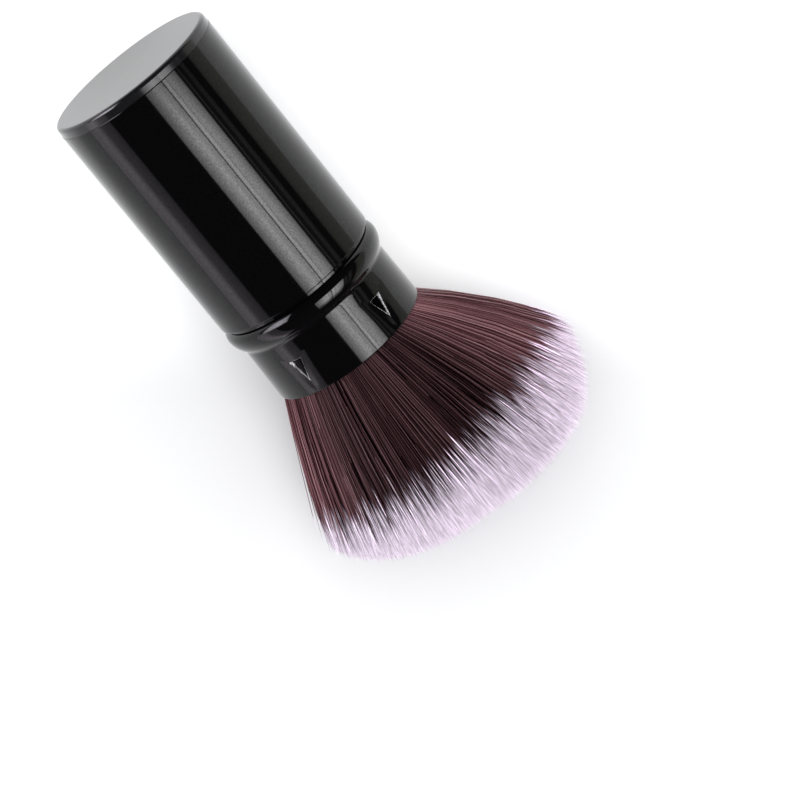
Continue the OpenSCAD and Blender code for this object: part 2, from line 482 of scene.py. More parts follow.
@dataclass(frozen=True)
class HardFinish:
    """A lacquered, moulded or metal surface with marks of handling.

    Attributes:
        name: Name of the material.
        colour: Base colour.
        metallic: 1 for bare metal.
        rough_low: Roughness where the surface is cleanest.
        rough_high: Roughness where it is most handled.
        ior: Index of refraction of the lacquer or plastic.
        dust: How much fine dust breaks up the reflections of a black surface. There it feeds
            Metallic, because black metal reflects next to nothing.
        veil: Mean share of the reflections that the dust takes.
        ripple: Height of the lacquer's ripple or the mould's texture, in millimetres.
        scratch: Height of the fine scratches, in millimetres.
        smudge_scale: Scale of the smudges.
        scratch_scale: Scale of the scratches.
    """

    name: str
    colour: Colour
    metallic: float = 0.0
    rough_low: float = 0.05
    rough_high: float = 0.12
    ior: float = 1.46
    dust: float = 0.0
    veil: float = 0.3
    ripple: float = 0.0006
    scratch: float = 0.0002
    smudge_scale: float = 90.0
    scratch_scale: float = 900.0

    def material(self) -> bpy.types.Material:
        """Builds the material.

        Returns:
            The material.
        """
        made, tree, shader = blank_material(self.name)
        shader.inputs["Base Color"].default_value = (*self.colour, 1.0)
        shader.inputs["Metallic"].default_value = self.metallic
        shader.inputs["IOR"].default_value = self.ior
        marks = tree.add("ShaderNodeGroup", node_tree=handling_group())
        marks.inputs["Smudge Scale"].default_value = self.smudge_scale
        marks.inputs["Scratch Scale"].default_value = self.scratch_scale
        if self.dust:
            around = self.veil + self.dust / 2
            veil = tree.math("MULTIPLY_ADD", marks.outputs["Dust"], -self.dust, around, clamped=True)
            tree.link(veil, shader.inputs["Metallic"])
            # The usual level of 0.5 is raised by what the veil takes away.
            shader.inputs["Specular IOR Level"].default_value = 0.5 / (1.0 - self.veil)
        rough = tree.span(marks.outputs["Smudge"], self.rough_low, self.rough_high)
        tree.link(rough, shader.inputs["Roughness"])
        ripple = tree.add("ShaderNodeBump", Strength=1.0, Distance=self.ripple * MM)
        tree.link(marks.outputs["Ripple"], ripple.inputs["Height"])
        scratch = tree.add("ShaderNodeBump", Strength=1.0, Distance=self.scratch * MM, invert=True)
        tree.link(marks.outputs["Scratch"], scratch.inputs["Height"])
        tree.link(ripple.outputs["Normal"], scratch.inputs["Normal"])
        tree.link(scratch.outputs["Normal"], shader.inputs["Normal"])
        return made

    def staked(self, edge: WornGlintEdge) -> bpy.types.Material:
        """Builds the material of a dusty black surface with dents, whose edges are worn and painted
        bright as highlights and whose insides are painted dark as shade.

        Args:
            edge: The dents' worn edge, with its painted highlight and painted shade.

        Returns:
            The material.
        """
        made = self.material()
        tree, shader = NodeTree(made.node_tree), made.node_tree.nodes["Principled BSDF"]
        metallic, rough = shader.inputs["Metallic"], shader.inputs["Roughness"]
        marks = tree.add("ShaderNodeGroup", node_tree=edge.group())
        # Bare metal on the worn line, which is also a painted highlight, and painted shade inside the
        # dent, where the reflections are taken away.
        worn_glint = marks.outputs["Worn Glint"]
        dim = tree.times(marks.outputs["Inside"], edge.dim)
        veil = tree.math("MAXIMUM", metallic.links[0].from_socket, dim)
        tree.link(tree.math("MAXIMUM", veil, worn_glint), metallic)
        tree.link(tree.mix(worn_glint, self.colour, edge.bare_glint), shader.inputs["Base Color"])
        scuffed = tree.times(worn_glint, edge.bare_rough)
        tree.link(tree.math("MAXIMUM", rough.links[0].from_socket, scuffed), rough)
        return made


LACQUER = HardFinish(
    "black_lacquer", (0.0012, 0.0012, 0.0014), dust=1.5, ior=1.36, rough_low=0.03, rough_high=0.09)
FERRULE_LACQUER = replace(LACQUER, name="black_ferrule_lacquer", ripple=0.003)
CAP_PLASTIC = HardFinish(
    "black_cap_plastic", (0.006, 0.006, 0.007), dust=0.4, rough_low=0.10, rough_high=0.2, ripple=0.001)
CORE_PLASTIC = HardFinish(
    "core_plastic", (0.09, 0.09, 0.095), rough_low=0.45, rough_high=0.6, ripple=0.004)
WEIGHT_STEEL = HardFinish(
    "weight_steel", (0.55, 0.56, 0.58), metallic=1.0, rough_low=0.25, rough_high=0.4, scratch=0.002)
KNOT_RESIN = HardFinish("knot_resin", (0.30, 0.19, 0.07), rough_low=0.12, rough_high=0.3, ripple=0.006)


@dataclass(frozen=True)
class FibreFinish:
    """Two-tone synthetic fibre, dark from the root and pale at the tip.

    The material reads three attributes of the fibres: tip_mm is the distance from the end of the
    dark dye in millimetres and is negative in the pale tip, shade is one value from 0 to 1 for each
    fibre, and painted_flank_light is 1 at the two sides of the tuft, where painted light makes the
    dye look redder and lighter. A pair of values below belongs to shade 0 and to shade 1.

    Attributes:
        name: Name of the material.
        dark: The dye at the middle of the tuft.
        maroon_painted_light: The colour at its flanks, where painted light makes the dye redder and
            lighter.
        mauve: Where the dye runs out.
        pale: The tip.
        bleed: Length over which the dye runs out, in millimetres.
        sheer: Share of the light that goes through a pale tip.
        roughness: Roughness of the fibre.
        gloss: Specular level.
        dyed_value: Brightness of the dye.
        dyed_saturation: Saturation of the dye.
        pale_value: Brightness of the tip.
    """

    name: str = "two_tone_fibre"
    dark: Colour = (0.027, 0.0098, 0.0118)
    maroon_painted_light: Colour = (0.100, 0.037, 0.043)
    mauve: Colour = (0.34, 0.20, 0.33)
    pale: Colour = (0.93, 0.82, 0.95)
    bleed: float = 1.7
    sheer: float = 0.3
    roughness: float = 0.42
    gloss: Point = (0.0, 0.4)
    dyed_value: Point = (0.02, 3.3)
    dyed_saturation: Point = (1.1, 0.78)
    pale_value: Point = (0.34, 1.5)

    def material(self) -> bpy.types.Material:
        """Builds the material.

        Returns:
            The material.
        """
        made, tree, shader = blank_material(self.name)
        shade = tree.attribute("shade")
        shader.inputs["Roughness"].default_value = self.roughness
        tree.link(tree.span(shade, *self.gloss), shader.inputs["Specular IOR Level"])

        dyed = tree.add("ShaderNodeHueSaturation")
        # Painted light: towards the flanks the dyed colour turns to the redder, lighter maroon, for
        # light that shines through and grazes them.
        tree.link(tree.mix(tree.attribute("painted_flank_light"), self.dark, self.maroon_painted_light), dyed.inputs["Color"])
        tree.link(tree.span(shade, *self.dyed_value), dyed.inputs["Value"])
        tree.link(tree.span(shade, *self.dyed_saturation), dyed.inputs["Saturation"])

        past_dye = tree.add("ShaderNodeMapRange", From_Min=self.bleed / 2, From_Max=-self.bleed / 2)
        tree.link(tree.attribute("tip_mm"), past_dye.inputs["Value"])
        bare_share = past_dye.outputs["Result"]
        undyed = tree.add("ShaderNodeHueSaturation")
        tree.link(tree.mix(bare_share, self.mauve, self.pale), undyed.inputs["Color"])
        tree.link(tree.span(shade, *self.pale_value), undyed.inputs["Value"])
        whole = tree.mix(bare_share, dyed.outputs["Color"], undyed.outputs["Color"])
        tree.link(whole, shader.inputs["Base Color"])

        through = tree.add("ShaderNodeBsdfTranslucent")
        tree.link(whole, through.inputs["Color"])
        both = tree.add("ShaderNodeMixShader")
        tree.link(tree.span(bare_share, 0.0, self.sheer), both.inputs["Fac"])
        tree.link(shader.outputs["BSDF"], both.inputs[1])
        tree.link(through.outputs["BSDF"], both.inputs[2])
        tree.link(both.outputs["Shader"], made.node_tree.nodes["Material Output"].inputs["Surface"])
        return made


def dress(piece: bpy.types.Object, material: bpy.types.Material) -> bpy.types.Object:
    """Gives a new piece its material and its body.

    Args:
        piece: The piece.
        material: Its material.

    Returns:
        The same piece.
    """
    piece.data.materials.clear()
    piece.data.materials.append(material)
    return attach(piece, BODY)


@dataclass
class Handle:
    """The drawn tube and its base cap.

    Attributes:
        at: Places of the brush.
        wall: Wall of the tube.
        lip: Radius of the lip rolled in at the mouth.
        edge: Radius of the base cap's rounded edge.
        burr: Radius of the tube's broken edge beside the cap.
        plug_wall: Wall of the cap's ring inside the tube.
        plug_length: Length of that ring.
        clear: Gap between the ring and the tube.
        steps: Pieces of the turn.
    """

    at: BrushFrame
    wall: float = 0.6
    lip: float = 0.25
    edge: float = 0.6
    burr: float = 0.12
    plug_wall: float = 1.2
    plug_length: float = 6.0
    clear: float = 0.05
    steps: int = 240

    @property
    def bore(self) -> float:
        """Inner radius of the tube."""
        return self.at.tube_r - self.wall

    def shell(self, material: bpy.types.Material) -> bpy.types.Object:
        """Builds the tube.

        Args:
            material: Lacquer.

        Returns:
            The piece.
        """
        at = self.at
        outside = arc((at.plate_x + self.burr, at.tube_r - self.burr), self.burr, 180, 90, steps=5)
        outside += arc((at.mouth_x - self.lip, at.tube_r - self.lip), self.lip, 90, 0, steps=10)
        section = [(at.plate_x, self.bore), *outside, (at.mouth_x, self.bore)]
        piece = object_from(turned(section, self.steps), "handle_tube")
        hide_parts("handle_shell")
        return dress(piece, material)

    def cap(self, material: bpy.types.Material) -> bpy.types.Object:
        """Builds the base cap with the ring that is pressed into the tube.

        Args:
            material: Moulded plastic.

        Returns:
            The piece.
        """
        at, plug_r, end_x = self.at, self.bore - self.clear, self.at.plate_x + self.plug_length
        rounded = arc((at.base_x + self.edge, at.cap_r - self.edge), self.edge, 180, 90)
        ring = [(at.plate_x, plug_r), (end_x, plug_r)]
        ring += [(x, plug_r - self.plug_wall) for x in (end_x, at.plate_x)]
        section = [(at.base_x, 0.0), *rounded, (at.plate_x, at.cap_r), *ring, (at.plate_x, 0.0)]
        piece = object_from(turned(section, self.steps), "handle_base_cap")
        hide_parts("base_cap")
        return dress(piece, material)


@dataclass(frozen=True)
class Stake:
    """One triangular dent, pressed in from outside, with its sharp edge towards the handle.

    Attributes:
        back: Distance from the rim to the sharp edge.
        length: From the sharp edge to the point.
        width: Of the sharp edge.
        depth: At the sharp edge, beyond the depth at the point.
        point_depth: At the point.
        bend: Width of the bent sheet round the dent.
        dish: Depth of the shallow hollow that the punch draws round the dent.
        dish_reach: How far that hollow reaches.
        pressed_back: How far behind the sharp edge the sheet is pressed at all.
        rim_clear: Width of the rim that isn't pressed.
        worn_glint_side: How far to both sides of its middle a dent can have its worn, painted bright
            edge.
    """

    back: float = 6.1
    length: float = 3.6
    width: float = 2.2
    depth: float = 0.62
    point_depth: float = 0.10
    bend: float = 0.16
    dish: float = 0.10
    dish_reach: float = 1.1
    pressed_back: float = 1.5
    rim_clear: float = 0.8
    worn_glint_side: float = 2.4

    def sink(self, u: np.ndarray, v: np.ndarray) -> np.ndarray:
        """How far the sheet is pressed in.

        Args:
            u: Distance from the sharp edge towards the rim.
            v: Distance round the collar from the dent's middle.

        Returns:
            Depths in millimetres.
        """
        half = self.width / 2
        slope = math.hypot(self.length, half)
        side = (half * (1 - u / self.length) - np.abs(v)) * self.length / slope
        inside = np.minimum(u, side)
        wall = np.clip(inside / self.bend + 0.5, 0.0, 1.0)
        wall = wall * wall * (3 - 2 * wall)
        floor = self.depth * np.clip(1 - u / self.length, 0.0, 1.0) + self.point_depth
        away = np.clip(-inside, 0.0, None) / self.dish_reach
        return wall * floor + self.dish * np.exp(-away * away) * (1 - wall)


@dataclass
class Ferrule:
    """The sheet metal ferrule: skirt, rolled bead, collar with stakes and rounded rim.

    Attributes:
        at: Places of the brush.
        stake: The dent that repeats round the collar.
        stake_turns: Angles of the dents from the top towards +Y, in degrees.
        skirt_in: How far the skirt's outside lies below the tube's.
        gap: Between the tube's mouth and the bead.
        nose: Radius of the bead's nose, beside the tube.
        back: Radius of the bead's long back, towards the rim.
        flare: Radius of the hollow flare from that back to the collar.
        collar_r: Radius of the collar beside the bead.
        rim_r: Radius of the collar at its rim.
        sheet: Thickness of the sheet.
        outer_steps: Pieces of the nose, back and flare outside.
        inner_steps: Pieces of the nose, back and flare inside.
        steps: Pieces of the turn, fine enough for the stakes.
        row: Distance between the rows of the collar where the stakes are.
        row_ends: How far the first and the last row lie from the flare and from the rim.
        crowd: Where the steps gather: share of the way from one dent to the next, and degrees.
    """

    at: BrushFrame
    stake: Stake = field(default_factory=Stake)
    stake_turns: tuple[float, ...] = (34.0, 106.0, 178.0, 250.0, 322.0)
    skirt_in: float = 0.65
    gap: float = 0.4
    nose: float = 1.6
    back: float = 3.5
    flare: float = 1.0
    collar_r: float = 13.15
    rim_r: float = 13.35
    sheet: float = 0.4
    outer_steps: tuple[int, int, int] = (14, 20, 14)
    inner_steps: tuple[int, int, int] = (5, 7, 5)
    steps: int = 480
    row: float = 0.08
    row_ends: Point = (0.3, 1.0)
    crowd: tuple[Point, ...] = ((0.0, 0.0), (0.28, 10.0), (0.5, 36.0))

    def bead_line(self, depth: float) -> list[Point]:
        """One surface of the rolled bead, from its nose to the collar.

        Args:
            depth: Distance below its outside.

        Returns:
            (along, out) points.
        """
        bead_r, nose = self.at.bead_r, self.nose - depth
        throat = math.degrees(math.acos((self.skirt_r - depth - bead_r + self.nose) / nose))
        slope = math.degrees(math.acos(1 - (bead_r - self.collar_r) / (self.back + self.flare)))
        nose_steps, back_steps, flare_steps = self.inner_steps if depth else self.outer_steps
        line = arc((self.crown_x, bead_r - self.nose), nose, 90 + throat, 90, nose_steps)
        past_crown = 88.0  # The nose's arc ends on the crown itself.
        back_at = (self.crown_x, bead_r - self.back)
        line += arc(back_at, self.back - depth, past_crown, 90 - slope, back_steps)
        flare_at = (self.collar_x, self.collar_r + self.flare)
        return line + arc(flare_at, self.flare + depth, 270 - slope, 270, flare_steps)

    @property
    def skirt_r(self) -> float:
        """Outer radius of the skirt."""
        return self.at.tube_r - self.skirt_in

    @property
    def crown_x(self) -> float:
        """Where the bead is widest."""
        return self.at.mouth_x + self.gap + self.nose

    @property
    def collar_x(self) -> float:
        """Where the flare ends and the collar begins."""
        both = self.back + self.flare
        return self.crown_x + both * math.sin(math.acos(1 - (self.at.bead_r - self.collar_r) / both))

    def section(self) -> list[Point]:
        """The closed section of the sheet.

        Returns:
            (along, out) points.
        """
        at, sheet, rows = self.at, self.sheet, self.rows()
        outside = [(at.skirt_x, self.skirt_r - sheet), (at.skirt_x, self.skirt_r)]
        outside += self.bead_line(0.0) + [(x, self.wall_r(x)) for x in rows]
        outside += arc((at.rim_x - sheet / 2, self.rim_r - sheet / 2), sheet / 2, 90, -90, steps=10)
        inside = [(x, self.wall_r(x) - sheet) for x in rows[::-3]]
        return outside + inside + self.bead_line(sheet)[::-1]

    def rows(self) -> list[float]:
        """Rows of the collar, close together where the stakes are.

        Returns:
            Distances from the base face.
        """
        edge_x = self.at.rim_x - self.stake.back
        first = edge_x - self.stake.dish_reach
        last = edge_x + self.stake.length + self.stake.dish_reach
        fine = np.linspace(first, last, round((last - first) / self.row)).tolist()
        return [self.collar_x + self.row_ends[0], *fine, self.at.rim_x - self.row_ends[1]]

    def wall_r(self, x: float) -> float:
        """Outer radius of the collar at a distance from the base face."""
        share = (x - self.collar_x) / (self.at.rim_x - self.collar_x)
        return self.collar_r + (self.rim_r - self.collar_r) * share

    def build(self, material: bpy.types.Material) -> bpy.types.Object:
        """Builds the ferrule and presses the stakes in.

        Args:
            material: Lacquer.

        Returns:
            The piece.
        """
        shape, stake = turned(self.section(), self.steps), self.stake
        places = np.array([v.co[:] for v in shape.verts]) / MM
        out = np.hypot(places[:, 1], places[:, 2])
        turn = np.degrees(np.arctan2(places[:, 1], places[:, 2]))
        pitch = 360.0 / len(self.stake_turns)
        even = (turn - self.stake_turns[0] + pitch / 2) % pitch - pitch / 2
        shares, degrees = np.array(self.crowd).T
        off = np.sign(even) * np.interp(np.abs(even) / pitch, shares, degrees)
        u = places[:, 0] - (self.at.rim_x - stake.back)
        v = np.radians(off) * out
        near = (u > -stake.pressed_back) & (u < stake.back - stake.rim_clear)
        lower = out - np.where(near, stake.sink(u, v), 0.0)
        moved = np.radians(turn - even + off)
        for vert, r, angle in zip(shape.verts, lower, moved):
            vert.co.y = r * math.sin(angle) * MM
            vert.co.z = r * math.cos(angle) * MM
        piece = object_from(shape, "staked_ferrule", sharp=60.0)
        marks = {"dent_u": u, "dent_v": v, "dent_near": near & (np.abs(v) < stake.worn_glint_side)}
        for label, values in marks.items():
            layer = piece.data.attributes.new(label, "FLOAT", "POINT")
            layer.data.foreach_set("value", values.astype(np.float32))
        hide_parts("ferrule")
        return dress(piece, material)


@dataclass(frozen=True)
class Head:
    """Form of the tuft, from its roots to its domed end, in millimetres.

    Attributes:
        height: Of the dome above the rim.
        root_r: Radius of the bundle at its roots.
        exit_r: Radius of the bundle where it leaves the ferrule.
        reach_full: Reach to the full side, +Y.
        reach_lean: Reach to the lean side.
        reach_top: Reach upwards.
        table_gap: How far the reach downwards stops short of the table.
        edge_full: Height of the outermost tips on the full side.
        edge_lean: Height of the outermost tips on the other sides.
        square_full: How square the dome is on the full side.
        square_lean: How square it is on the other sides.
        bow_full: Outward bow of the fibres on the full side.
        bow_lean: Outward bow on the other sides.
    """

    height: float = 34.8
    root_r: float = 11.4
    exit_r: float = 12.75
    reach_full: float = 29.0
    reach_lean: float = 22.5
    reach_top: float = 20.5
    table_gap: float = 0.4
    edge_full: float = 20.5
    edge_lean: float = 25.0
    square_full: float = 9.0
    square_lean: float = 3.0
    bow_full: float = 0.35
    bow_lean: float = 0.2

    def tip_height(self, a: np.ndarray, b: np.ndarray) -> np.ndarray:
        """Height of a tip above the rim.

        Args:
            a: Place of the root across the unit disc, where 1 is the full side.
            b: Its place towards the top.

        Returns:
            Heights in millimetres.
        """
        full = np.clip(a, 0.0, None)
        edge = self.edge_lean - (self.edge_lean - self.edge_full) * full
        square = self.square_lean + (self.square_full - self.square_lean) * full
        return self.height - (self.height - edge) * np.hypot(a, b) ** square

    def splay(self, a: np.ndarray, t: np.ndarray) -> np.ndarray:
        """Share of the splay made at a share t of the way from the rim to the tip."""
        bow = self.bow_lean + (self.bow_full - self.bow_lean) * np.clip(a, 0.0, None)
        return t * (1 + bow * (1 - t))

    def across(self, u: np.ndarray, down: float, up: float, out: np.ndarray) -> np.ndarray:
        """Place across the tuft at a share of the splay."""
        reach = (up + down) / 2 + u * (up - down) / 2
        return u * (self.exit_r + (reach - self.exit_r) * out)


@dataclass(frozen=True)
class FibreStyle:
    """How the fibres gather, stray and taper.

    Attributes:
        count: Number of fibres.
        per_piece: Number of fibres in one piece.
        ring_fibres: Number of fibres divided by the square of the number of their rings.
        crowding: 2 spreads the roots evenly, and more crowds them towards the edge.
        wisps: Number of fine wisps, each of a few fibres that cling together.
        wisp_gather: How far a fibre is drawn to the middle of its wisp.
        wisp_rate: How soon that happens past the rim.
        locks: Number of locks that the wisps gather into.
        gather: How far a fibre is drawn to the middle of its lock at the tip, lowest and highest.
        gather_power: How late that happens.
        thick: Radius of a fibre.
        thick_spread: Share of that radius which a fibre has, lowest and highest.
        tip_thick: Radius just behind its point.
        taper: Shares of the way along a fibre, and of its radius there, up to the point.
        levels: Shares of the way along a fibre, where 0 is the root.
        rim_share: Share at which a fibre passes the rim.
        pale_length: Length of the pale tip.
        full_length: How much shorter that is on the full side.
        late_share: Share of the fibres that stay dark nearer to the tip.
        late_pale: Share of the pale length that these have, lowest and highest.
        pale_spread: How much that length differs between wisps, and between fibres.
        short_spread: How much the height differs between locks, and between fibres.
        wander: How far the tip of a wisp, and of a fibre, strays from its place.
        tones: Tone by lot: a third of the fibres nearly black, most of the others alike, a few light.
        wisp_tone: How much of a fibre's lot it shares with its wisp.
        lot_jitter: How far a lot strays from its turn.
        full_side_painted_light: How much lighter the full side is, as painted light.
        full_flank: Where the redder painted light begins on the full side, and over what share it grows.
        lean_flank: The same on the lean side.
        lean_power: How late it grows there.
        stray_share: Share of the fibres that stray.
        stray_reach: How far these stand out.
        stray_spread: Share of that reach which a fibre has, lowest and highest.
        table_clear: Gap between the lowest fibres and the table.
        seed: Of the random draws.
    """

    count: int = 56000
    quick_count: int = 24000
    per_piece: int = 6500
    ring_fibres: float = 2.8
    crowding: float = 2.27
    wisps: int = 16000
    wisp_gather: float = 0.2
    wisp_rate: float = 3.0
    locks: int = 2400
    gather: Point = (0.0, 0.36)
    gather_power: int = 3
    thick: float = 0.079
    thick_spread: Point = (0.75, 1.2)
    quick_thick: float = 1.35
    tip_thick: float = 0.022
    taper: tuple[Point, ...] = ((0.0, 1.0), (0.6, 1.0), (0.84, 0.8))
    levels: tuple[float, ...] = (0.0, 0.12, 0.32, 0.56, 0.82, 1.0)
    rim_share: float = 0.12
    pale_length: float = 5.7
    full_length: float = 1.3
    late_share: float = 0.18
    late_pale: Point = (0.25, 0.8)
    pale_spread: Point = (0.6, 1.5)
    short_spread: Point = (0.3, 0.35)
    wander: Point = (0.25, 0.2)
    tones: tuple[Point, ...] = (
        (0.0, 0.0), (0.34, 0.02), (0.42, 0.26), (0.78, 0.46), (0.86, 0.9), (1.0, 1.0))
    wisp_tone: float = 0.06
    lot_jitter: float = 0.03
    full_side_painted_light: float = 0.16
    full_flank: Point = (0.5, 0.35)
    lean_flank: Point = (0.55, 0.45)
    lean_power: float = 1.5
    stray_share: float = 0.008
    stray_reach: float = 1.9
    stray_spread: Point = (0.3, 1.0)
    table_clear: float = 0.02
    seed: int = 20

    def past_rim(self) -> np.ndarray:
        """Share of the way from the rim to the tip at each level."""
        return np.clip((np.array(self.levels) - self.rim_share) / (1 - self.rim_share), 0.0, 1.0)

    def before_rim(self) -> np.ndarray:
        """Share of the way from the root to the rim at each level."""
        return np.clip(np.array(self.levels) / self.rim_share, 0.0, 1.0)


@dataclass(frozen=True)
class Bundles:
    """The locks or wisps that the fibres belong to.

    Attributes:
        middle: Middle of each fibre's bundle on the unit disc.
        member: Number of each fibre's bundle.
    """

    middle: np.ndarray
    member: np.ndarray

    def drawn(self, spot: np.ndarray, share: np.ndarray) -> np.ndarray:
        """Draws the fibres together.

        Args:
            spot: Place of each fibre on the unit disc at each level.
            share: How far each level is drawn to the bundle's middle.

        Returns:
            The new places.
        """
        return spot * (1 - share[..., None]) + self.middle[:, None, :] * share[..., None]


@dataclass
class Tuft:
    """The bristle tuft.

    Attributes:
        at: Places of the brush.
        head: Form of the tuft.
        style: Habit of the fibres.
    """

    at: BrushFrame
    head: Head = field(default_factory=Head)
    style: FibreStyle = field(default_factory=FibreStyle)

    def fibre_pattern(self) -> tuple[np.ndarray, np.ndarray, np.ndarray]:
        """Models one fibre: three sides, one ring for each level, drawn to a point.

        Returns:
            The level of each vertex, its place across the fibre, and the triangles.
        """
        shape = bmesh.new()
        upright = Matrix.Rotation(math.pi / 2, 4, "Y")
        closed = {"cap_ends": True, "cap_tris": True}
        bmesh.ops.create_circle(shape, segments=3, radius=1.0, matrix=upright, **closed)
        ring = [e for e in shape.edges if len(e.link_faces) == 1]
        last = len(self.style.levels) - 1
        for _ in range(last):
            grown = bmesh.ops.extrude_edge_only(shape, edges=ring)["geom"]
            verts = [g for g in grown if isinstance(g, bmesh.types.BMVert)]
            ring = [g for g in grown if isinstance(g, bmesh.types.BMEdge)]
            bmesh.ops.translate(shape, verts=verts, vec=(1.0, 0.0, 0.0))
        bmesh.ops.pointmerge(shape, verts=verts, merge_co=(float(last), 0.0, 0.0))
        bmesh.ops.triangulate(shape, faces=shape.faces)
        bmesh.ops.recalc_face_normals(shape, faces=shape.faces)
        shape.verts.index_update()
        level = np.array([round(v.co.x) for v in shape.verts])
        across = np.array([(v.co.y, v.co.z) for v in shape.verts])
        faces = np.array([[v.index for v in f.verts] for f in shape.faces])
        shape.free()
        return level, across, faces

    def roots(self, count: int, rng: np.random.Generator) -> np.ndarray:
        """Spreads the roots over the unit disc, closer together towards its edge.

        Args:
            count: Number of fibres.
            rng: Random draws.

        Returns:
            One (a, b) for each fibre.
        """
        rings = round(math.sqrt(count / self.style.ring_fibres))
        starts = np.round(count * np.linspace(0.0, 1.0, rings + 1) ** self.style.crowding).astype(int)
        ring = np.repeat(np.arange(rings), np.diff(starts))
        rho = (ring + rng.random(count)) / rings
        place = (np.arange(count) - starts[ring] + rng.random(count)) / np.diff(starts)[ring]
        turn = math.tau * (place + rng.random(rings)[ring])
        return np.stack([rho * np.cos(turn), rho * np.sin(turn)], 1)

    def bundles(self, roots: np.ndarray, number: int, rng: np.random.Generator) -> Bundles:
        """Finds the bundle that each fibre belongs to.

        Args:
            roots: One (a, b) for each fibre.
            number: Number of bundles.
            rng: Random draws.

        Returns:
            The bundles.
        """
        middles = self.roots(number, rng)
        finder = KDTree(number)
        for index, (a, b) in enumerate(middles):
            finder.insert((a, b, 0.0), index)
        finder.balance()
        nearest = np.array([finder.find((a, b, 0.0))[1] for a, b in roots])
        return Bundles(middles[nearest], nearest)

    def fibres(self, rng: np.random.Generator) -> tuple[np.ndarray, dict[str, np.ndarray]]:
        """Runs every fibre from its root to its tip.

        Args:
            rng: Random draws.

        Returns:
            A point for each fibre and level, and the attributes for each fibre and level.
        """
        style = self.style
        roots = self.roots(style.count, rng)
        locks = self.bundles(roots, style.locks, rng)
        wisps = self.bundles(roots, style.wisps, rng)
        by_lock = rng.uniform(-1.0, 1.0, (style.locks, 2))[locks.member]
        by_wisp = rng.uniform(-1.0, 1.0, (style.wisps, 4))[wisps.member]
        wisp_share = style.wisp_gather * np.minimum(style.past_rim() * style.wisp_rate, 1.0)
        spot = wisps.drawn(roots[:, None, :], wisp_share[None, :])
        gather = style.gather[0] + np.ptp(style.gather) * (by_lock[:, 0] + 1) / 2
        spot = locks.drawn(spot, gather[:, None] * style.past_rim()[None, :] ** style.gather_power)
        height = self.head.tip_height(roots[:, 0], roots[:, 1]) + by_lock[:, 1] * style.short_spread[0]
        height -= np.abs(rng.normal(0.0, style.short_spread[1], len(roots)))
        wander = rng.normal(0.0, style.wander[1], roots.shape) + by_wisp[:, :2] * style.wander[0]
        stray = rng.random(len(roots)) < style.stray_share
        reach = style.stray_reach * rng.uniform(*style.stray_spread, (stray.sum(), 1))
        wander[stray] += roots[stray] * reach
        points = self.points(roots, spot, height, wander)
        return points, self.marks(roots, points, by_wisp, rng)

    def points(self, roots: np.ndarray, spot: np.ndarray, height: np.ndarray,
               wander: np.ndarray) -> np.ndarray:
        """Places the fibres in the brush.

        Args:
            roots: One (a, b) for each fibre.
            spot: Place on the unit disc at each level.
            height: Height of each tip above the rim.
            wander: How far each tip strays across the tuft.

        Returns:
            A point for each fibre and level.
        """
        at, head, before = self.at, self.head, self.style.before_rim()[None, :]
        t = np.broadcast_to(self.style.past_rim()[None, :], spot.shape[:2])
        out = head.splay(roots[:, :1], t)
        squeeze = head.root_r / head.exit_r + (1 - head.root_r / head.exit_r) * before
        x = at.rim_x + t * height[:, None] - (1 - before) * (at.rim_x - at.root_x)
        y = head.across(spot[..., 0], head.reach_lean, head.reach_full, out) * squeeze
        z = head.across(spot[..., 1], -at.table_z - head.table_gap, head.reach_top, out) * squeeze
        y = y + wander[:, :1] * t ** 2
        z = z + wander[:, 1:] * t ** 2
        z = np.maximum(z, at.table_z + self.style.thick + self.style.table_clear)
        return np.stack([x, y, z], 2)

    def marks(self, roots: np.ndarray, points: np.ndarray, by_wisp: np.ndarray,
              rng: np.random.Generator) -> dict[str, np.ndarray]:
        """Gives the fibres what their material reads.

        Args:
            roots: One (a, b) for each fibre.
            points: A point for each fibre and level.
            by_wisp: Draws from -1 to 1 that a wisp shares.
            rng: Random draws.

        Returns:
            The attributes for each fibre and level.
        """
        style, count = self.style, len(roots)
        steps = np.linalg.norm(np.diff(points, axis=1), axis=2)
        run = np.concatenate([np.zeros((count, 1)), np.cumsum(steps, axis=1)], axis=1)
        pale = style.pale_length - style.full_length * np.clip(roots[:, 0], 0.0, None)
        pale = pale + by_wisp[:, 2] * style.pale_spread[0] + rng.normal(0.0, style.pale_spread[1], count)
        late = rng.random(count) < style.late_share
        pale *= np.where(late, rng.uniform(*style.late_pale, count), 1.0)
        to_tip = run[:, -1:] - run - pale[:, None]

        # Painted light: the two sides of the tuft are painted redder, and the full side lighter too.
        full, lean = (np.clip((sign * roots[:, :1] - start) / width, 0.0, 1.0)
                      for sign, (start, width) in ((1, style.full_flank), (-1, style.lean_flank)))
        # Neighbours in a ring follow each other in number, so their lots lie far apart.
        own = (np.arange(count) * GOLDEN + rng.normal(0.0, style.lot_jitter, count)) % 1.0
        lot = style.wisp_tone * (by_wisp[:, 3:] + 1) / 2 + (1 - style.wisp_tone) * own[:, None]
        shade = np.interp(lot, *np.array(style.tones).T) + style.full_side_painted_light * full
        painted_flank_light = lean ** style.lean_power + full
        wide = np.ones_like(run)
        return {"tip_mm": to_tip, "shade": shade * wide, "painted_flank_light": painted_flank_light * wide}

